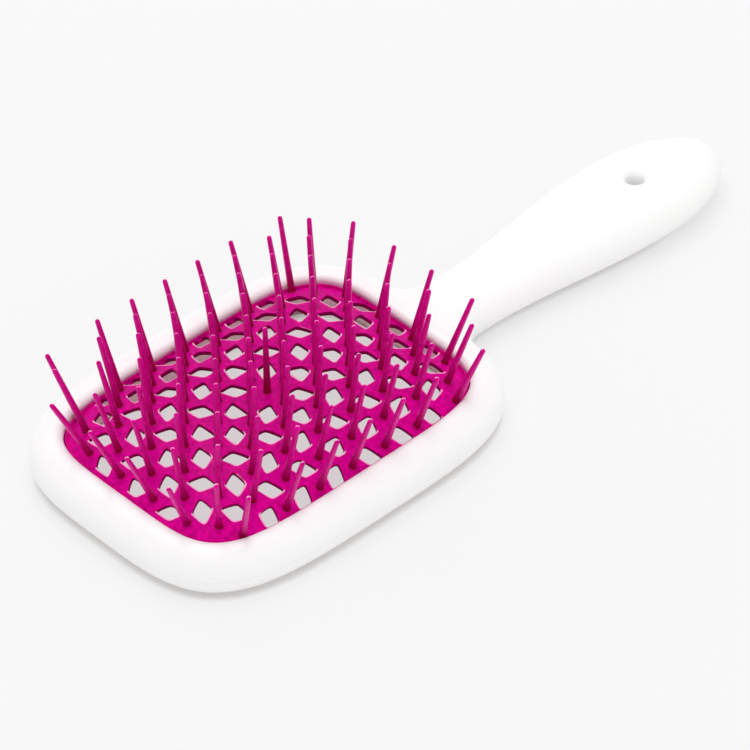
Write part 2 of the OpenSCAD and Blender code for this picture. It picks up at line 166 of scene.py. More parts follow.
def added(name, operator, **settings):
    """A new object by that name, made by one of the Add operators."""
    bpy.ops.object.select_all(action="DESELECT")
    operator(**settings)
    piece = bpy.context.object
    piece.name = piece.data.name = name
    return piece


paper = added("white_paper", bpy.ops.mesh.primitive_plane_add, size=6, location=(0, 0, 0))
paper_look, tree = new_material("white_paper")
shade = mixed_colour(tree, patches(tree, 250, 2), linear("#F5F5F5"), linear("#F3F3F3"))
matt = add_node(tree, "BsdfDiffuse", {"Color": shade})
# painted shadow: the camera's emission turns grey #C8C4C2 where the brush is near
near = add_node(tree, "AmbientOcclusion", {"Distance": SHADOW_W * MM}, samples=8)
clear = climb(tree, near.outputs["AO"], 0.4, 0.9)
even_shade = mixed_colour(tree, clear, linear("#C8C4C2"), linear("#F6F6F6"))
even = add_node(tree, "Emission", {"Color": even_shade, "Strength": 1})
seen = add_node(tree, "LightPath", {})
share = add_node(tree, "Math", {0: seen.outputs["Is Camera Ray"], 1: EVENED_OUT}, operation="MULTIPLY")
look = add_node(tree, "MixShader", {0: share.outputs[0], 1: matt.outputs["BSDF"],
                                    2: even.outputs["Emission"]})
add_node(tree, "OutputMaterial", {"Surface": look.outputs["Shader"]})
paper.data.materials.append(paper_look)
print("paper:", [round(d, 1) for d in paper.dimensions.xy], "m")

# %% [markdown]
# The light is soft from all round, as in a white tent. The world gives most of it, one large lamp hangs
# above, one stands behind and a weak one fills the front. The small catch light lights no surface: it only
# shows in the gloss, where it draws the fine bright lines along the pins. Together they are kept at a level
# at which a colour renders about as it is written, and the plain Standard view keeps it so.

# %% World and lamps
WORLD_STRENGTH = 0.83
world = bpy.data.worlds.new("soft_studio")
bpy.context.scene.world = world
world.use_nodes = True
world.node_tree.nodes.clear()
sky = add_node(world.node_tree, "Background", {"Color": linear("#FFFFFF"), "Strength": WORLD_STRENGTH})
add_node(world.node_tree, "OutputWorld", {"Surface": sky.outputs["Background"]})


def soft_lamp(name, at, size, power):
    """A square soft lamp at a place in metres, turned towards the brush, with its power in watts."""
    light = bpy.data.lights.new(name, "AREA")
    light.size, light.energy = size, power
    lamp = bpy.data.objects.new(name, light)
    bpy.context.scene.collection.objects.link(lamp)
    lamp.location = at
    lamp.rotation_euler = (-Vector(at)).to_track_quat("-Z", "Y").to_euler()
    return lamp


lamps = [
    soft_lamp("overhead_softbox", (0, 0.1, 1.3), 1.2, 3),
    soft_lamp("back_softbox", (0.4, 0.6, 0.9), 0.9, 2),
    soft_lamp("front_fill", (-0.5, -0.9, 0.35), 0.9, 0.9),
    soft_lamp("catch_light", (0.3, 0.6, 1.1), 0.25, 6)]
lamps[-1].visible_diffuse = False
bpy.context.scene.view_settings.view_transform = "Standard"
print("world", WORLD_STRENGTH, "and lamps", [lamp.name for lamp in lamps])

# %% [markdown]
# The frame is white ABS, moulded in a polished mould: bright, a little cream, with a satin gloss whose
# highlights are wide and soft. A faint ripple of the moulded skin and small changes of gloss keep it from
# looking computed. Light goes into white plastic and comes out again close by, which fills small hollows
# with a soft glow. The bore of the hanging eye and the wall behind the lattice, where that is most of what
# one sees, get a material of their own, which adds painted light: a faint emission that brightens their
# shade. On the wall that painted light is warm, standing in for light that has met the magenta pad.

# %% Moulded white ABS
def moulded_white_abs(name, share, depth, painted_light, painted_light_colour="#FFFFFF"):
    """White plastic that a share of the light enters to a depth in mm, with painted light: an emission of
    this strength and colour.
    """
    material, tree = new_material(name)
    # flow of the melt: patches hardly a shade apart
    tint = mixed_colour(tree, patches(tree, 25, 3), linear("#FBFAFA"), linear("#F7F6F5"))
    # the polish wears unevenly, between satin and gloss
    gloss = climb(tree, patches(tree, 4, 4), 0.3, 0.7, 0.42, 0.52)
    # the skin's ripple is a few microns deep
    skin = add_node(tree, "Bump", {"Height": patches(tree, 1.6, 2), "Strength": 0.25, "Distance": 0.02 * MM})
    plastic = add_node(tree, "BsdfPrincipled", {
        "Base Color": tint, "Roughness": gloss, "Normal": skin.outputs["Normal"],
        "IOR": 1.53, "Specular IOR Level": 0.5,
        "Subsurface Weight": share, "Subsurface Radius": (1.0, 0.95, 0.9), "Subsurface Scale": depth * MM,
        "Emission Color": linear(painted_light_colour), "Emission Strength": painted_light})
    add_node(tree, "OutputMaterial", {"Surface": plastic.outputs["BSDF"]})
    return material


white_abs = moulded_white_abs("moulded_white_abs", 0.1, 1, 0)
# painted light: an emission of 0.045 brightens the shaded bore
white_bore_painted_glow = moulded_white_abs("moulded_white_abs_bore_painted_glow", 1, 4, 0.045)
# painted light: a warm emission of 0.14 on the shaded wall behind the lattice
white_wall_painted_glow = moulded_white_abs("moulded_white_abs_wall_painted_glow", 0.1, 1, 0.14, "#FFE0DA")
print("made", white_abs.name, white_bore_painted_glow.name, white_wall_painted_glow.name)

# %% [markdown]
# The pad and the pins are one soft grade of plastic, dyed right through in magenta, with the fine mottle of
# a soft moulding. Edges that are turned to the lamp behind get a painted highlight in pale pink. The walls
# of the openings get painted shade in deep red, and so does a pin's root. Attributes on the meshes tell the
# material how high on its pin a point is, and how far an edge is turned to the lamp, for these painted
# marks.

# %% Moulded magenta plastic
def moulded_magenta(name, body, light, shine, rough, way=None, stops=()):
    """Mottled plastic. Two stops give a colour and its share at values of the attribute way."""
    material, tree = new_material(name)
    # mottle of the dye
    dye = climb(tree, patches(tree, 1.3, 3), 0.35, 0.65)
    colour = mixed_colour(tree, dye, linear(body), linear(light))
    if way:
        along = add_node(tree, "Attribute", {}, attribute_name=way)
        ramp = add_node(tree, "ValToRGB", {"Fac": along.outputs["Fac"]})
        for element, (value, code, share) in zip(ramp.color_ramp.elements, stops):
            element.position, element.color = value, linear(code)[:3] + (share,)
        colour = mixed_colour(tree, ramp.outputs["Alpha"], colour, ramp.outputs["Color"])
    gloss = climb(tree, patches(tree, 2.5, 3), 0.3, 0.7, rough, rough + 0.14)
    # grain of the soft skin
    skin = add_node(tree, "Bump", {"Height": patches(tree, 0.7, 2), "Strength": 0.5, "Distance": 0.06 * MM})
    plastic = add_node(tree, "BsdfPrincipled", {
        "Base Color": colour, "Roughness": gloss, "Normal": skin.outputs["Normal"],
        "IOR": 1.5, "Specular IOR Level": shine, "Specular Tint": linear("#FF8CD2")})
    add_node(tree, "OutputMaterial", {"Surface": plastic.outputs["BSDF"]})
    return material


magenta_pad = moulded_magenta("moulded_magenta_pad", "#C40082", "#E8009A", 0.03, 0.34)
# painted highlight: pale pink #FFB8DC on edges turned to the back lamp
magenta_painted_highlight = moulded_magenta("magenta_painted_edge_highlight", "#C40082", "#E8009A", 0.03, 0.34, "painted_edge_highlight",
                                [(0.42, "#FFB8DC", 0), (0.6, "#FFB8DC", 1)])
# painted shade: a darker copy of the pad's colour for the openings' walls
magenta_walls_painted_shade = moulded_magenta("magenta_opening_walls_painted_shade", "#8A004C", "#960056", 0.1, 0.34)
# painted shade: the ramp darkens each pin's root to deep red #8C0034
magenta_pins = moulded_magenta("moulded_magenta_pins", "#C4007A", "#D60A90", 0.4, 0.24, "root_to_tip",
                               [(0.02, "#8C0034", 1), (0.35, "#8C0034", 0)])
print("made", magenta_pad.name, magenta_painted_highlight.name, magenta_walls_painted_shade.name, magenta_pins.name)

# %% [markdown]
# The head is a square with very round corners, which a superellipse draws in one formula, and the handle
# leaves it in a fillet. It widens towards the palm and ends in half an ellipse.

# %% Sizes of the frame
# the neck and the fillet beside it, the handle, and its round end
NECK_W, NECK_FILLET, HANDLE_W, END_L = 19.8, 7.5, 31, 27
# crown above the joint on the ring, the neck, the palm and the end
CREST_H, NECK_H, HANDLE_H, END_H = 5.9, 5.3, 6.7, 5
# how far the underside lifts off the paper at the neck and the end
NECK_LIFT, END_LIFT = 0.8, 1.2
# fall from the crest to the lip and its round, the back's inner round and the foot beside it
LIP_DROP, LIP_ROUND, BACK_ROUND, FOOT_W = 1.2, 2.2, 1.6, 1.0
# how far the pad's flange reaches under the lip, and the gap above the pad
FLANGE_REACH, PAD_CLEAR = 2.0, 0.25
# the palm's place along the handle, and the end of the centre line in the round end, as shares
PALM_AT, CENTRE_END_AT = 0.8, 0.72
TIP_X = BRUSH_L - HEAD_A
WIDEST_X = TIP_X - END_L
FILLET_Y = NECK_W / 2 + NECK_FILLET
FILLET_X = HEAD_A * (1 - (FILLET_Y / HEAD_B) ** HEAD_POWER) ** (1 / HEAD_POWER) + NECK_FILLET
FILLET_PHI = math.atan2(FILLET_Y / HEAD_B, (FILLET_X - NECK_FILLET) / HEAD_A)
PALM_X = FILLET_X + PALM_AT * (WIDEST_X - FILLET_X)
END_X = WIDEST_X + CENTRE_END_AT * END_L


def oval(a, b, power, phi):
    """Point of a superellipse in the direction phi."""
    c, s = math.cos(phi), math.sin(phi)
    r = (abs(c) ** power + abs(s) ** power) ** (-1 / power)
    return Vector((a * r * c, b * r * s))


def norm_in(a, b, power, p):
    """How far out a point lies on a superellipse, where 1 is on it."""
    return (abs(p.x / a) ** power + abs(p.y / b) ** power) ** (1 / power)


def mixed(a, b, t):
    return a + (b - a) * t


def eased(a, b, t):
    """Soft step from a to b."""
    return a + (b - a) * (1 - math.cos(math.pi * min(1, max(0, t)))) / 2


print("neck, palm and handle end at", round(FILLET_X, 1), round(PALM_X, 1), "and", round(TIP_X, 1), "mm")

# %% [markdown]
# The outline is followed in spokes, from the nose round the ring, along the handle and round its end. Each
# spoke has an inner end, on the lip or on the centre line, and an outer end, on the outline. Spokes stand
# closer together at the neck, where the outline bends most.

# %% Spokes
RING_N, HANDLE_N, END_N = 96, 34, 16
SPOKE_N = RING_N + HANDLE_N + END_N
# how much closer the spokes stand at the neck, on the outline and on the centre line
OUTER_CROWD, INNER_CROWD = 1.3, 1.1


def ring_phi(i):
    return math.pi * (1 - i / RING_N)


def outer(i):
    """Outer end of spoke i."""
    if i <= RING_N:
        phi = ring_phi(i)
        if phi >= FILLET_PHI:
            return oval(HEAD_A, HEAD_B, HEAD_POWER, phi)
        turn = math.pi + math.pi / 2 * (1 - phi / FILLET_PHI)
        return Vector((FILLET_X, FILLET_Y)) + NECK_FILLET * Vector((math.cos(turn), math.sin(turn)))
    if i <= RING_N + HANDLE_N:
        x = mixed(FILLET_X, WIDEST_X, ((i - RING_N) / HANDLE_N) ** OUTER_CROWD)
        return Vector((x, eased(NECK_W, HANDLE_W, (x - FILLET_X) / (WIDEST_X - FILLET_X)) / 2))
    turn = math.pi / 2 * (i - RING_N - HANDLE_N) / END_N
    return Vector((WIDEST_X + END_L * math.sin(turn), HANDLE_W / 2 * max(0, math.cos(turn))))


def inner(i):
    """Inner end of spoke i."""
    if i <= RING_N:
        return oval(LIP_A, LIP_B, LIP_POWER, ring_phi(i))
    if i <= RING_N + HANDLE_N:
        along = ((i - RING_N) / HANDLE_N) ** INNER_CROWD
        return Vector((mixed(LIP_A + BACK_ROUND + FOOT_W, WIDEST_X, along), 0))
    return Vector((mixed(WIDEST_X, END_X, math.sin(math.pi / 2 * (i - RING_N - HANDLE_N) / END_N)), 0))


def stepped_out(i, w):
    """Inner end of spoke i moved out of the opening by w, square to the lip."""
    p = inner(i)
    if i > RING_N or w == 0:
        return p
    g = Vector((abs(p.x / LIP_A) ** (LIP_POWER - 1) / LIP_A * (1 if p.x > 0 else -1),
                abs(p.y / LIP_B) ** (LIP_POWER - 1) / LIP_B))
    return p + w * g.normalized()


# once down one side of the brush and back up the other
WALK = [(i, 1) for i in range(SPOKE_N + 1)] + [(i, -1) for i in range(SPOKE_N - 1, 0, -1)]
print(len(WALK), "spokes, nose at", round(outer(0).x, 1), "mm from the pad's middle")

# %% [markdown]
# A shell's surface is swept from its outer edge over the crown and down to the lip. By hand one would start
# from a circle, lay it on the outline and extrude it again and again, each new loop moved to its height.
# That is done here. The vertices carry the number of their spoke, so that a loop's points find their
# places.

# %% Laying a loop
def lay(piece, points):
    """Moves the selected vertices to the points of their spokes."""
    mesh = bmesh.from_edit_mesh(piece.data)
    spoke = mesh.verts.layers.int["spoke"]
    for vertex in mesh.verts:
        if vertex.select:
            vertex.co = points[vertex[spoke]]
    bmesh.update_edit_mesh(piece.data)


# %% [markdown]
# The two sides of the handle meet on the middle plane, and the sweep leaves a wall there. Its faces are
# picked by their place and deleted. A closed mesh has exactly two faces at each edge, so counting the
# others tests it.

# %% Closing a shell
def close_up(piece):
    """Deletes the wall on the middle plane, where the handle's two sides met, and turns faces outwards."""
    bpy.ops.mesh.select_mode(type="FACE")
    bpy.ops.mesh.select_all(action="DESELECT")
    mesh = bmesh.from_edit_mesh(piece.data)
    for face in mesh.faces:
        face.select_set(all(abs(vertex.co.y) < SAME / 2 * MM for vertex in face.verts))
    bmesh.update_edit_mesh(piece.data)
    bpy.ops.mesh.delete(type="FACE")
    bpy.ops.mesh.select_all(action="SELECT")
    bpy.ops.mesh.delete_loose(use_verts=True, use_edges=True, use_faces=False)
    bpy.ops.mesh.select_all(action="SELECT")
    bpy.ops.mesh.normals_make_consistent(inside=False)


def open_edges(piece):
    """How many edges don't lie between exactly two faces."""
    mesh = bmesh.new()
    mesh.from_mesh(piece.data)
    count = sum(1 for edge in mesh.edges if len(edge.link_faces) != 2)
    mesh.free()
    return count


# %% [markdown]
# With these the sweep is short: a circle with a vertex for each spoke, as many extruded loops as a section
# has steps, the last one laid on the first, and doubled points merged.

# %% Sweeping a shell
def swept_shell(name, section):
    """A closed shell, swept through the steps of its section on each spoke."""
    piece = added(name, bpy.ops.mesh.primitive_circle_add, vertices=len(WALK), radius=HEAD_B * MM,
                  location=(0, 0, 0))
    spoke = piece.data.attributes.new("spoke", "INT", "POINT")
    for vertex in piece.data.vertices:
        spoke.data[vertex.index].value = vertex.index
    sections = [section(i) for i in range(SPOKE_N + 1)]
    last = len(sections[0])
    bpy.ops.object.mode_set(mode="EDIT")
    bpy.ops.mesh.select_mode(type="EDGE")
    bpy.ops.mesh.select_all(action="SELECT")
    for k in range(last + 1):
        if k > 0:
            bpy.ops.mesh.extrude_edges_move(TRANSFORM_OT_translate={"value": (0, 0, MM)})
        loop = [(sections[i][k % last], side) for i, side in WALK]
        lay(piece, [place(x, side * y, z) for (x, y, z), side in loop])
    bpy.ops.mesh.select_all(action="SELECT")
    bpy.ops.mesh.remove_doubles(threshold=SAME * MM)
    close_up(piece)
    bpy.ops.object.mode_set(mode="OBJECT")
    return piece


# %% [markdown]
# The pad is domed: highest in the middle, and down to one height all round the lip. It falls late along the
# brush and sooner across it. The front shell needs that height too, as its lip comes down on the pad.

# %% Height of the dome
DOME_FALL, FALL_ALONG, FALL_ACROSS = 6.5, 3.5, 2.6


def fall_at(x, y):
    return abs(x / LIP_A) ** FALL_ALONG + abs(y / LIP_B) ** FALL_ACROSS


def dome_z(x, y):
    """Height of the pad's upper face."""
    n = norm_in(LIP_A, LIP_B, LIP_POWER, Vector((x, y)))
    return CROWN_Z - (DOME_FALL * fall_at(x, y) / fall_at(x / n, y / n) if n > 0 else 0)


print("dome:", dome_z(0, 0), "mm high in the middle,", round(dome_z(0, LIP_B), 2), "mm at the lip")

# %% [markdown]
# The front shell is the ring's crest with the lip that holds the pad, and the top of the handle. Its crest
# is a wide soft round, and it falls to the lip in a smaller one. Under the lip a recess takes the pad's
# flange.

# %% Front shell
ROUND_STEPS, LIP_STEPS, SECTION_POWER = 14, 6, 2.2


def outer_round(i, w, side, h):
    """From the joint's outer edge up or down to the crest, whose height is h on one side of the joint."""
    steps = []
    for k in range(ROUND_STEPS, -1, -1):
        t, e = math.pi / 2 * k / ROUND_STEPS, 2 / SECTION_POWER
        p = mixed(stepped_out(i, w), outer(i), math.sin(t) ** e)
        steps.append((p.x, p.y, JOINT_Z + side * h * max(0, math.cos(t)) ** e))
    return steps


def crown_at(x):
    """Height of the handle's crown above the joint."""
    if x < FILLET_X:
        return eased(CREST_H, NECK_H, (x - LIP_A) / (FILLET_X - LIP_A))
    if x < PALM_X:
        return eased(NECK_H, HANDLE_H, (x - FILLET_X) / (PALM_X - FILLET_X))
    return eased(HANDLE_H, END_H, (x - PALM_X) / (END_X - PALM_X))


def front_section(i):
    p, h = inner(i), CREST_H if i <= RING_N else crown_at(inner(i).x)
    steps = outer_round(i, LIP_ROUND, 1, h)
    for k in range(LIP_STEPS - 1, -1, -1):
        t = math.pi / 2 * k / LIP_STEPS
        q = stepped_out(i, LIP_ROUND * (1 - math.cos(t)))
        steps.append((q.x, q.y, JOINT_Z + h - LIP_DROP * (1 - math.sin(t))))
    if i > RING_N:
        seam_x = mixed(LIP_A + FLANGE_REACH, END_X, (i - RING_N) / (SPOKE_N - RING_N))
        return steps + [(seam_x, 0, JOINT_Z)] * 3
    recess = oval(LIP_A + FLANGE_REACH, LIP_B + FLANGE_REACH, LIP_POWER, ring_phi(i))
    under_z = max(dome_z(p.x, p.y), SEAT_Z) + PAD_CLEAR
    return steps + [(p.x, p.y, under_z), (recess.x, recess.y, SEAT_Z), (recess.x, recess.y, JOINT_Z)]


front_shell = swept_shell("front_shell_moulding", front_section)
print("front shell:", len(front_shell.data.polygons), "faces,", open_edges(front_shell), "open edges")

# %% [markdown]
# The back shell mirrors it below the joint: a small round on the inner edge, a narrow foot that the brush
# rests on and the wide outer round. Under the neck and at the handle's end it lifts a little, so the brush
# rests on its head and palm.

# %% Back shell
def keel_at(x):
    """Depth of the handle's underside below the joint."""
    if x < FILLET_X:
        return JOINT_Z - eased(0, NECK_LIFT, (x - LIP_A) / (FILLET_X - LIP_A))
    if x < PALM_X:
        return JOINT_Z - eased(NECK_LIFT, 0, (x - FILLET_X) / (PALM_X - FILLET_X))
    return JOINT_Z - eased(0, END_LIFT, (x - PALM_X) / (END_X - PALM_X))


def back_section(i):
    p, h = inner(i), JOINT_Z if i <= RING_N else keel_at(inner(i).x)
    steps = outer_round(i, BACK_ROUND + FOOT_W, -1, h)
    for k in range(LIP_STEPS, -1, -1):
        t = math.pi / 2 * k / LIP_STEPS
        q = stepped_out(i, BACK_ROUND * (1 - math.cos(t)))
        steps.append((q.x, q.y, JOINT_Z - h + BACK_ROUND * (1 - math.sin(t))))
    return steps + [(p.x, p.y, JOINT_Z)]


back_shell = swept_shell("back_shell_moulding", back_section)
print("back shell:", len(back_shell.data.polygons), "faces,", open_edges(back_shell), "open edges")

# %% [markdown]
# The two shells meet in a hairline joint all round the edge. A tiny bevel on each outer edge draws it, as a
# mould's parting edge is never quite sharp. The edges are picked by their height and by the sharp turn of
# their faces.

# %% Hairline joint
JOINT_BEVEL, SHARP_TURN = 0.07, math.radians(60)


def only(*pieces):
    """Selects these objects and nothing else, and makes the first one active."""
    if bpy.context.mode != "OBJECT":
        bpy.ops.object.mode_set(mode="OBJECT")
    bpy.ops.object.select_all(action="DESELECT")
    for piece in pieces:
        piece.select_set(True)
    bpy.context.view_layer.objects.active = pieces[0]


def edit(piece, kind):
    """Opens a piece in edit mode, with nothing selected, to pick edges or faces."""
    only(piece)
    bpy.ops.object.mode_set(mode="EDIT")
    bpy.ops.mesh.select_mode(type=kind)
    bpy.ops.mesh.select_all(action="DESELECT")
    return bmesh.from_edit_mesh(piece.data)


def soften_joint(piece):
    """Bevels the outer edge at the joint, and says how many edges that was."""
    count = 0
    for edge in edit(piece, "EDGE").edges:
        level_edge = all(abs(vertex.co.z - JOINT_Z * MM) < SAME / 2 * MM for vertex in edge.verts)
        outwards = level_edge and edge.is_manifold and edge.calc_face_angle() > SHARP_TURN
        edge.select_set(outwards)
        count += outwards
    bmesh.update_edit_mesh(piece.data)
    bpy.ops.mesh.bevel(offset=JOINT_BEVEL * MM, offset_type="OFFSET", segments=1)
    bpy.ops.object.mode_set(mode="OBJECT")
    return count


for shell in (front_shell, back_shell):
    print(shell.name, "joint edges softened:", soften_joint(shell))

# %% [markdown]
# Round things are turned as on a lathe: a disc is extruded step by step along its profile, each new loop
# scaled to its radius. Such a solid can be a piece by itself, as a pin is, or a tool that a Boolean
# modifier joins to a piece or cuts out of it.

# %% Turning and cutting
def turned(name, x, profile, sides=48):
    """A closed solid turned about a vertical axis at x, from its profile of radius and height."""
    piece = added(name, bpy.ops.mesh.primitive_circle_add, vertices=sides, radius=profile[0][0] * MM,
                  fill_type="NGON", location=place(x, 0, profile[0][1]))
    bpy.ops.object.mode_set(mode="EDIT")
    bpy.ops.mesh.select_all(action="SELECT")
    for (r0, z0), (r1, z1) in zip(profile, profile[1:]):
        bpy.ops.mesh.extrude_region_move(TRANSFORM_OT_translate={"value": (0, 0, (z1 - z0) * MM)})
        bpy.ops.transform.resize(value=(r1 / r0, r1 / r0, 1), center_override=place(x, 0, z1))
    bpy.ops.mesh.select_all(action="SELECT")
    bpy.ops.mesh.normals_make_consistent(inside=False)
    bpy.ops.object.mode_set(mode="OBJECT")
    bpy.ops.object.transform_apply(location=True, rotation=True, scale=True)
    return piece


def cut(piece, tool, operation="DIFFERENCE"):
    """Uses a tool on a piece and throws the tool away."""
    only(piece)
    step = piece.modifiers.new("cut", "BOOLEAN")
    step.operation, step.object, step.solver = operation, tool, "EXACT"
    bpy.ops.object.modifier_apply(modifier=step.name)
    bpy.data.objects.remove(tool, do_unlink=True)


# %% [markdown]
# The hanging eye goes right through the handle. On the front its edge is a soft round; inside, a sleeve of
# the front shell passes through the back shell and ends just short of its surface.

# %% Hanging eye
EYE_R, EYE_INSET, EYE_SOFT = 2.5, 27, 1.2
SLEEVE_WALL, SLEEVE_RECESS, SLEEVE_SOFT, SLEEVE_CLEAR = 1.8, 0.2, 0.3, 0.1
# how far the sleeve goes into the handle's crown, and how far cutters stick out
SLEEVE_GRIP, OVER = 1, 2
EYE_X = TIP_X - EYE_INSET
eye_top = JOINT_Z + crown_at(EYE_X)
sleeve_end = JOINT_Z - keel_at(EYE_X) + SLEEVE_RECESS
sleeve_r = EYE_R + SLEEVE_WALL
sleeve = [(sleeve_r - SLEEVE_SOFT, sleeve_end), (sleeve_r, sleeve_end + SLEEVE_SOFT),
          (sleeve_r, JOINT_Z + SLEEVE_GRIP)]
cut(front_shell, turned("sleeve", EYE_X, sleeve), "UNION")
mouth = [(EYE_R + EYE_SOFT * (1 - math.cos(a)), eye_top - EYE_SOFT * (1 - math.sin(a)))
         for a in map(math.radians, range(0, 91, 10))]
bore = [(EYE_R, -OVER)] + mouth + [(EYE_R + EYE_SOFT, eye_top + OVER)]
cut(front_shell, turned("bore", EYE_X, bore))
hole = [(sleeve_r + SLEEVE_CLEAR, -OVER), (sleeve_r + SLEEVE_CLEAR, JOINT_Z + OVER)]
cut(back_shell, turned("sleeve_hole", EYE_X, hole))
print("eye", round(eye_top - sleeve_end, 2), "mm long, mouth", round(2 * (EYE_R + EYE_SOFT), 1), "mm wide")

# %% [markdown]
# Both shells get their materials: plain white, and one more slot for the faces of the bore and for those of
# the ring's inner wall, whose material adds painted light. The front shell is then finished with smooth
# shading and its place in the packed model. The back shell still waits for a ring that is made beside the
# pad.

# %% Dress the shells
# the bore's faces lie this far beyond its radius at most and this far below its mouth at least
BORE_REACH, BORE_DEPTH = 0.6, 0.4
# the inner wall's faces lie this near the lip's outline, where 1 is on it, and above this height
WALL_NORM, WALL_Z = 1.02, 2
# edges that turn less than these degrees are shaded smooth
SMOOTH_BELOW, PINS_SMOOTH_BELOW = 40, 50


def from_middle(co):
    """A point in metres, as millimetres from the pad's middle."""
    return Vector((co.x / MM - SHIFT_X, co.y / MM))


def finish_piece(piece, nodes, angle):
    """Smooth shading below an angle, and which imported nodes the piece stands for."""
    only(piece)
    bpy.ops.object.shade_smooth_by_angle(angle=math.radians(angle))
    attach(piece, "root")
    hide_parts(*nodes)
    size = [round(d / MM, 1) for d in piece.dimensions]
    print(piece.name, size, "mm,", len(piece.data.polygons), "faces")


for material in (white_abs, white_bore_painted_glow):
    front_shell.data.materials.append(material)
for face in front_shell.data.polygons:
    out = (face.center - place(EYE_X, 0, 0)).xy.length / MM
    face.material_index = out < EYE_R + BORE_REACH and face.center.z < (eye_top - BORE_DEPTH) * MM
finish_piece(front_shell, ["front_shell"], SMOOTH_BELOW)
for material in (white_abs, white_wall_painted_glow):
    back_shell.data.materials.append(material)
for face in back_shell.data.polygons:
    out = norm_in(LIP_A, LIP_B, LIP_POWER, from_middle(face.center))
    face.material_index = out < WALL_NORM and face.center.z > WALL_Z * MM
print("faces of the inner wall:", sum(face.material_index for face in back_shell.data.polygons))

# %% [markdown]
# The pad is a lattice of cells in a chequer: one has an opening, the next carries a pin. A cell is known by
# its column m and its row r, counted from the middle cell, and the rows at the sides are shorter than the
# middle ones, as the rim's round corners cut them off.

# %% Cells of the lattice
COLUMN_N, ROW_N = 17, 11
SIDE_ROW = ROW_N // 2
# how far each row reaches from its middle, in cells
ROW_REACH = (6, 7, 8, 8, 8, 8, 8, 8, 8, 7, 6)
PITCH_L, PITCH_W = 0.1156 * LIP_A, 0.1812 * LIP_B


def cell_of(p):
    return round(p.x / PITCH_L), round(p.y / PITCH_W)


def in_field(m, r):
    return abs(r) <= SIDE_ROW and abs(m) <= ROW_REACH[r + SIDE_ROW]


def is_open(m, r):
    return in_field(m, r) and (m + r) % 2 == 0 and (m, r) != (0, 0)


print(sum(2 * reach + 1 for reach in ROW_REACH), "cells of", round(PITCH_L, 2), "x", round(PITCH_W, 2), "mm")

# %% [markdown]
# Cells meet in knots, which are pushed aside in turn, so that the openings lean one way and the other. Near
# the middle they lean along the brush, near its ends across it. Knots that the push or the rim's round
# corners would bring too near the lip are tucked in. A knot stands half a rib outside the corners of the
# openings round it.

# %% Knots between the cells
# push on a knot, and half the width of a rib
KNOT_SHIFT, RIB_HALF = 0.85, 0.6
# plain bands along the lip that the openings keep clear of: at the nose, at the neck and along the sides
NOSE_BAND, NECK_BAND, SIDE_BAND = 2.2, 1.3, 0.9
# the pad's edge inside the lip, and how far knots stay inside that
PAD_EDGE, KNOT_CLEAR = 0.3, 0.2


def sign(v):
    return (v > 0) - (v < 0)


def tucked(a, b, power, p):
    """The point, brought back to the superellipse where it lies outside."""
    return p / max(1, norm_in(a, b, power, p))


def inside_band(p):
    """The point, brought back where it lies on the plain band along the lip."""
    return tucked(LIP_A - (NECK_BAND if p.x > 0 else NOSE_BAND), LIP_B - SIDE_BAND, LIP_POWER, p)


def knot_shift(m, r, i, j):
    """Push on the knot i, j as the opening in cell m, r draws it."""
    def push(n):
        return KNOT_SHIFT if math.floor(abs(n)) % 2 == 1 else -KNOT_SHIFT
    tall = abs(m) - abs(r) > 2 or (abs(m) - abs(r) == 2 and abs(r) != 2)
    return Vector((0, sign(j) * push(i))) if tall else Vector((sign(i) * push(j), 0))


def opening_corner(m, r, sx, sy):
    """Corner of the opening in cell m, r on its side sx, sy."""
    i, j = m + sx / 2, r + sy / 2
    p = Vector((i * PITCH_L, j * PITCH_W)) + knot_shift(m, r, i, j) - RIB_HALF * Vector((sx, sy))
    return inside_band(p)


def knot_place(i, j):
    """Place of a knot: half a rib outside the corners of the openings round it."""
    asks = []
    for sx in (-1, 1):
        for sy in (-1, 1):
            m, r = round(i - sx / 2), round(j - sy / 2)
            if is_open(m, r):
                asks.append(opening_corner(m, r, sx, sy) + RIB_HALF * Vector((sx, sy)))
    if asks:
        knot = sum(asks, Vector((0, 0))) / len(asks)
        return tucked(LIP_A - PAD_EDGE - KNOT_CLEAR, LIP_B - PAD_EDGE - KNOT_CLEAR, LIP_POWER, knot)
    return inside_band(Vector((i * PITCH_L, j * PITCH_W)))


print("a corner of the opening in cell 2, 0:", opening_corner(2, 0, 1, 1))

# %% [markdown]
# The mesh starts from Blender's grid, which has one face for each cell. It is scaled to the cells' pitch,
# the faces at its corners that lie outside the field are deleted, and its vertices are moved to the knots.

# %% Grid of cells
pad = added("lattice_pad_moulding", bpy.ops.mesh.primitive_grid_add, x_subdivisions=COLUMN_N,
            y_subdivisions=ROW_N, size=COLUMN_N * PITCH_L * MM, location=place(0, 0, 0))
bpy.ops.object.transform_apply(location=True, rotation=True, scale=True)
bpy.ops.object.mode_set(mode="EDIT")
bpy.ops.mesh.select_all(action="SELECT")
squeeze = ROW_N * PITCH_W / (COLUMN_N * PITCH_L)
bpy.ops.transform.resize(value=(1, squeeze, 1), center_override=place(0, 0, 0))
mesh = edit(pad, "FACE")
print("cells in the grid:", len(mesh.faces))
for face in mesh.faces:
    face.select_set(not in_field(*cell_of(from_middle(face.calc_center_median()))))
bmesh.update_edit_mesh(pad.data)
bpy.ops.mesh.delete(type="FACE")
mesh = bmesh.from_edit_mesh(pad.data)
for vertex in mesh.verts:
    p = from_middle(vertex.co)
    q = knot_place(round(p.x / PITCH_L * 2) / 2, round(p.y / PITCH_W * 2) / 2)
    vertex.co = place(q.x, q.y, 0)
bmesh.update_edit_mesh(pad.data)
print("cells in the field:", len(mesh.faces))

# %% [markdown]
# A plain band joins the lattice to the collar along the rim. The grid's border is extruded and laid out to
# it.

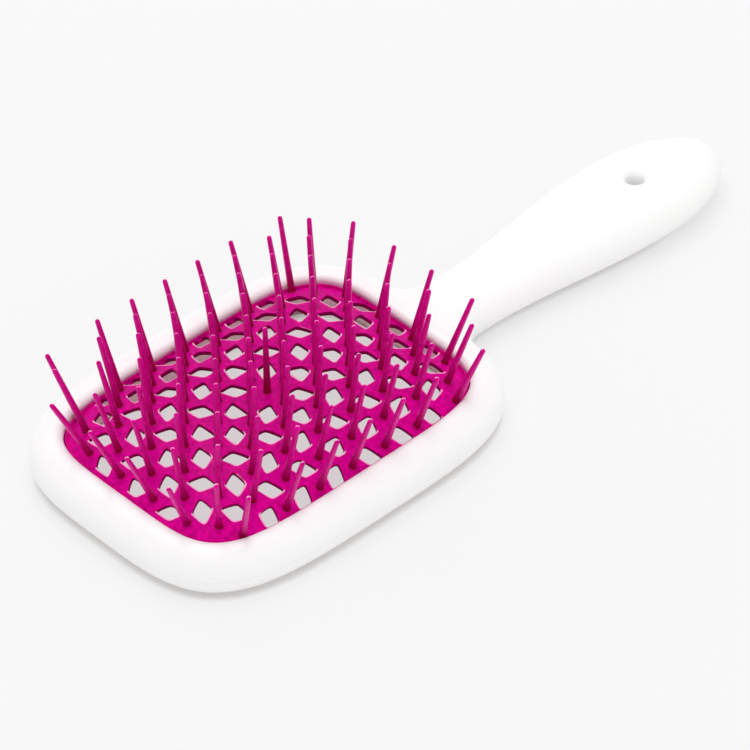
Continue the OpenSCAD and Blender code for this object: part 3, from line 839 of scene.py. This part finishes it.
# %% Plain band
def lay_on_lip(piece, a, b):
    """Moves the selected vertices straight out from the middle to a superellipse like the lip."""
    mesh = bmesh.from_edit_mesh(piece.data)
    for vertex in mesh.verts:
        if vertex.select:
            p = from_middle(vertex.co)
            q = p / norm_in(a, b, LIP_POWER, p)
            vertex.co = place(q.x, q.y, 0)
    bmesh.update_edit_mesh(piece.data)


bpy.ops.mesh.select_all(action="SELECT")
bpy.ops.mesh.region_to_loop()
bpy.ops.mesh.extrude_edges_move(TRANSFORM_OT_translate={"value": (0, 0, 0)})
lay_on_lip(pad, LIP_A - PAD_EDGE, LIP_B - PAD_EDGE)
print("faces with the band:", len(bmesh.from_edit_mesh(pad.data).faces))

# %% [markdown]
# Each opening is an inset of its cell whose four corners are laid where the openings' own pattern has them.
# How deep the inset is doesn't matter, as its corners move next. Faces that touch the pad's edge belong to
# the band and are left alone.

# %% Insets for the openings
FIRST_INSET, ON_EDGE = 0.5, 0.9999
mesh = edit(pad, "FACE")
for face in mesh.faces:
    knots = [from_middle(vertex.co) for vertex in face.verts]
    if max(norm_in(LIP_A - PAD_EDGE, LIP_B - PAD_EDGE, LIP_POWER, p) for p in knots) < ON_EDGE:
        face.select_set(is_open(*cell_of(from_middle(face.calc_center_median()))))
bmesh.update_edit_mesh(pad.data)
bpy.ops.mesh.inset(thickness=FIRST_INSET * MM, use_individual=True, use_even_offset=True)
mesh = bmesh.from_edit_mesh(pad.data)
inside = mesh.faces.layers.int.new("inside")
openings, sides = [], set()
for face in [face for face in mesh.faces if face.select]:
    face[inside] = 1
    middle = from_middle(face.calc_center_median())
    m, r = cell_of(middle)
    for vertex in face.verts:
        p = from_middle(vertex.co)
        q = opening_corner(m, r, 1 if p.x > middle.x else -1, 1 if p.y > middle.y else -1)
        vertex.co = place(q.x, q.y, 0)
    openings.append([opening_corner(m, r, sx, sy) for sx, sy in ((-1, -1), (1, -1), (1, 1), (-1, 1))])
    for edge in face.edges:
        rib = next(other for other in edge.link_faces if other is not face)
        sides.add(edge)
        sides.update(far for far in rib.edges if not set(far.verts) & set(edge.verts))
print("openings:", len(openings), "with sides and far sides of their ribs:", len(sides))

# %% [markdown]
# Two cuts divide each side of an opening, and the far side of the rib along it, in three. Then the
# opening's own faces are taken out. The points next to a corner are drawn up to it and the corner itself is
# drawn in, so that subdividing the surface rounds the corner.

# %% Rounded corners
CORNER_R = 0.8
bpy.ops.mesh.select_mode(type="EDGE")
bpy.ops.mesh.select_all(action="DESELECT")
for edge in sides:
    edge.select_set(True)
bmesh.update_edit_mesh(pad.data)
bpy.ops.mesh.subdivide(number_cuts=2)
mesh = edit(pad, "FACE")
inside = mesh.faces.layers.int["inside"]
for face in mesh.faces:
    face.select_set(face[inside] == 1)
bmesh.update_edit_mesh(pad.data)
bpy.ops.mesh.delete(type="FACE")

mesh = bmesh.from_edit_mesh(pad.data)
mesh.verts.ensure_lookup_table()
flat = [from_middle(vertex.co) for vertex in mesh.verts]


def nearest(spot):
    return min(range(len(flat)), key=lambda n: (flat[n] - spot).length_squared)


moves = {}
for corners in openings:
    for k, corner in enumerate(corners):
        drawn_up = []
        for other in (corners[k - 1], corners[(k + 1) % 4]):
            drawn_up.append(corner + (other - corner).normalized() * CORNER_R)
            moves[nearest(corner + (other - corner) / 3)] = drawn_up[-1]
        moves[nearest(corner)] = (drawn_up[0] + 2 * corner + drawn_up[1]) / 4
for n, q in moves.items():
    mesh.verts[n].co = place(q.x, q.y, 0)
bmesh.update_edit_mesh(pad.data)
bpy.ops.object.mode_set(mode="OBJECT")
print("points laid round the openings:", len(moves))

# %% [markdown]
# Subdividing smooths the lattice, and then it is laid on the dome. The narrow ring of faces round each
# opening gets the material of the painted edge highlight, and an attribute says how far that edge is turned
# to the lamp behind, which sets how much pale pink is painted on it.

# %% Dome and edges of the openings
TO_BACK_LAMP = Vector((0.4, 0.6)).normalized()
# slots of the pad, and how far out openings reach, where 1 is the lip
EDGE_SLOT, WALL_SLOT, OPENINGS_NORM = 1, 2, 0.97


def apply_modifier(piece, kind, **settings):
    only(piece)
    step = piece.modifiers.new(kind.lower(), kind)
    for name, value in settings.items():
        setattr(step, name, value)
    bpy.ops.object.modifier_apply(modifier=step.name)


apply_modifier(pad, "SUBSURF", levels=1, render_levels=1)
for vertex in pad.data.vertices:
    p = from_middle(vertex.co)
    vertex.co = place(p.x, p.y, dome_z(p.x, p.y))
for material in (magenta_pad, magenta_painted_highlight, magenta_walls_painted_shade):
    pad.data.materials.append(material)
mesh = edit(pad, "FACE")
# painted highlight: how far each opening's edge is turned to the back lamp
painted_light = mesh.verts.layers.float.new("painted_edge_highlight")
for vertex in mesh.verts:
    if vertex.is_boundary and norm_in(LIP_A, LIP_B, LIP_POWER, from_middle(vertex.co)) < OPENINGS_NORM:
        near = next(edge.other_vert(vertex) for edge in vertex.link_edges if not edge.is_boundary)
        vertex[painted_light] = near[painted_light] = 0.5 + 0.5 * (vertex.co - near.co).xy.normalized().dot(TO_BACK_LAMP)
        for face in vertex.link_faces:
            face.select_set(True)
bmesh.update_edit_mesh(pad.data)
pad.active_material_index = EDGE_SLOT
bpy.ops.object.material_slot_assign()
bpy.ops.object.mode_set(mode="OBJECT")
print("faces at the openings' edges:", sum(face.material_index == EDGE_SLOT for face in pad.data.polygons))

# %% [markdown]
# A Solidify modifier gives the pad its 1 mm. It is thickened downwards, so the dome keeps its height, and
# round the openings its new rim faces get the material of the walls, a darker copy of the pad's colour that
# paints their shade. Moulded openings have soft edges, so a small bevel goes round each where the walls meet
# the surface.

# %% Thickness and soft edges
PAD_T, FLANGE_LIFT, EDGE_BEVEL = 1.0, 0.2, 0.14
apply_modifier(pad, "SOLIDIFY", thickness=PAD_T * MM, offset=-1, use_even_offset=False,
               material_offset_rim=1)
for vertex in pad.data.vertices:
    vertex.co.z = max(vertex.co.z, (JOINT_Z + FLANGE_LIFT) * MM)
for edge in edit(pad, "EDGE").edges:
    edge.select_set(sum(face.material_index == WALL_SLOT for face in edge.link_faces) == 1)
bmesh.update_edit_mesh(pad.data)
bpy.ops.mesh.bevel(offset=EDGE_BEVEL * MM, offset_type="OFFSET", segments=2)
bpy.ops.object.mode_set(mode="OBJECT")
print("pad with soft edges:", len(pad.data.polygons), "faces,", open_edges(pad), "open edges")

# %% [markdown]
# At the rim the pad ends in a collar that lines the lip, and goes on as a flange, out of sight, which the
# two shells clamp. Below it a thin white skirt of the back shell stands close inside, the pale wall that
# one sees through the far openings, brightened by the wall's warm painted light. Both are rings: a circle
# is laid on the lip's outline and extruded round the profile.

# %% Collar and skirt
LIP_SIDES = 144


def ring(name, profile, material):
    """A closed ring along the lip, from its profile of growth beyond the lip and height."""
    piece = added(name, bpy.ops.mesh.primitive_circle_add, vertices=LIP_SIDES, radius=LIP_B * MM,
                  location=place(0, 0, 0))
    bpy.ops.object.transform_apply(location=True, rotation=True, scale=True)
    bpy.ops.object.mode_set(mode="EDIT")
    bpy.ops.mesh.select_all(action="SELECT")
    for k, (grow, z) in enumerate(profile + profile[:1]):
        if k > 0:
            bpy.ops.mesh.extrude_edges_move(TRANSFORM_OT_translate={"value": (0, 0, 0)})
        lay_on_lip(piece, LIP_A + grow, LIP_B + grow)
        bpy.ops.transform.translate(value=(0, 0, z * MM))
    bpy.ops.mesh.select_all(action="SELECT")
    bpy.ops.mesh.remove_doubles(threshold=SAME * MM)
    bpy.ops.mesh.normals_make_consistent(inside=False)
    bpy.ops.object.mode_set(mode="OBJECT")
    piece.data.materials.append(material)
    print(name, "open edges:", open_edges(piece))
    return piece


collar = ring("collar", [
    (-0.4, JOINT_Z), (-0.4, 7.9), (-0.85, 8.3), (-0.85, 9.3), (-0.72, 10.0), (-0.62, 10.17), (-0.48, 10.2),
    (-0.33, 10.17), (-0.25, 10.0), (-0.25, 9.15), (1.75, SEAT_Z - 0.02), (1.75, JOINT_Z)], magenta_pad)
skirt = ring("skirt", [
    (0, JOINT_Z - 0.4), (-0.65, JOINT_Z - 0.2), (-0.65, 7.95), (-0.45, 7.95), (-0.45, JOINT_Z)], white_wall_painted_glow)
only(back_shell, skirt)
bpy.ops.object.join()
finish_piece(back_shell, ["back_shell"], SMOOTH_BELOW)
only(pad, collar)
bpy.ops.object.join()
finish_piece(pad, ["lattice_pad"], SMOOTH_BELOW)

# %% [markdown]
# One pin is modelled standing up: a flared root, a long taper and a round tip, extruded from a circle. Its
# height is written into an attribute, which the material reads to paint shade on the root. The faces round
# its tip get the painted edge highlight, so that the side towards the lamp behind shows as a small painted
# pale arc.

# %% One pin
PIN_L, ROOT_R, TIP_R, FLARE, PIN_SIDES = 19.5, 0.9, 0.6, 0.2, 14
# the band of the tip that gets the painted highlight, in tip radii above where the taper ends
HIGHLIGHT_FROM, HIGHLIGHT_TO = 0.5, 0.95
profile = [(ROOT_R + FLARE, -PAD_T / 2), (ROOT_R + FLARE, 0), (ROOT_R + FLARE * 0.55, FLARE * 0.22),
           (ROOT_R + FLARE * 0.2, FLARE * 0.7), (ROOT_R, FLARE * 1.5)]
profile += [(mixed(ROOT_R, TIP_R, t), mixed(FLARE * 1.5, PIN_L - TIP_R, t)) for t in (0.2, 0.45, 0.75)]
profile += [(TIP_R * math.cos(math.radians(a)), PIN_L - TIP_R + TIP_R * math.sin(math.radians(a)))
            for a in (0, 30, 55, 75)]
pin = turned("pin", -SHIFT_X, profile, sides=PIN_SIDES)
way = pin.data.attributes.new("root_to_tip", "FLOAT", "POINT")
# painted highlight on the tip: how far each side is turned to the back lamp
painted_light = pin.data.attributes.new("painted_edge_highlight", "FLOAT", "POINT")
for vertex in pin.data.vertices:
    way.data[vertex.index].value = max(0, vertex.co.z / MM / PIN_L)
    painted_light.data[vertex.index].value = 0.5 + 0.5 * vertex.co.xy.normalized().dot(TO_BACK_LAMP)
for material in (magenta_pins, magenta_painted_highlight):
    pin.data.materials.append(material)
for face in pin.data.polygons:
    face.material_index = TIP_R * HIGHLIGHT_FROM < face.center.z / MM - PIN_L + TIP_R < TIP_R * HIGHLIGHT_TO
print("pin:", [round(d / MM, 2) for d in pin.dimensions], "mm,", len(pin.data.polygons), "faces")

# %% [markdown]
# Pins stand on the cells without openings, and one on the middle cell, where the moulding was fed. On that
# one the root's darker colour reaches much further up. They are copied to their places, leaning outwards
# more and more towards the head's edge, and each row becomes one piece.

# %% Rows of pins
# how far the last pins of the side rows stand beyond their cells, in cells
CORNER_STEP = 0.65
# the outline that pins stay inside: cells from the lip at the neck, nose and sides, and its power
NECK_INSET, NOSE_INSET, SIDE_INSET, FIELD_POWER = 0.7, 0.8, 0.4, 7
# lean of the last pins at the sides, the neck and the nose in degrees, and the powers by which it grows
SIDE_LEAN, NECK_LEAN, NOSE_LEAN, SIDE_GROWTH, END_GROWTH = 20, 19, 24, 1.4, 4.3
# share of its height with which the middle pin counts, so that the root's darker colour covers more of it
MIDDLE_PIN_SHARE = 0.35


def pin_matrix(m, r):
    """Place and lean of the pin in cell m, r."""
    steps = m + (sign(m) * CORNER_STEP if abs(r) == SIDE_ROW and abs(m) == ROW_REACH[0] else 0)
    inset = (NECK_INSET if m > 0 else NOSE_INSET) * PITCH_L
    cell = Vector((steps * PITCH_L, r * PITCH_W))
    p = tucked(LIP_A - inset, LIP_B - SIDE_INSET * PITCH_W, FIELD_POWER, cell)
    side_lean = -sign(r) * math.radians(SIDE_LEAN) * (abs(r) / SIDE_ROW) ** SIDE_GROWTH
    end_lean = math.radians(NECK_LEAN if m > 0 else -NOSE_LEAN) * (abs(steps) / max(ROW_REACH)) ** END_GROWTH
    lean = Matrix.Rotation(end_lean, 4, "Y") @ Matrix.Rotation(side_lean, 4, "X")
    return Matrix.Translation(place(p.x, p.y, dome_z(p.x, p.y))) @ lean


total = 0
for row, reach in enumerate(ROW_REACH, start=1):
    r = row - 1 - SIDE_ROW
    copies = []
    for m in range(-reach, reach + 1):
        if is_open(m, r):
            continue
        only(pin)
        bpy.ops.object.duplicate(linked=False)
        copy = bpy.context.object
        copy.data.transform(pin_matrix(m, r))
        if (m, r) == (0, 0):
            for value in copy.data.attributes["root_to_tip"].data:
                value.value *= MIDDLE_PIN_SHARE
        copies.append(copy)
    only(*copies)
    bpy.ops.object.join()
    total += len(copies)
    copies[0].name = copies[0].data.name = f"pins_row_{row}"
    finish_piece(copies[0], [f"pin_row_{row}"], PINS_SMOOTH_BELOW)
bpy.data.objects.remove(pin, do_unlink=True)
print("pins:", total)
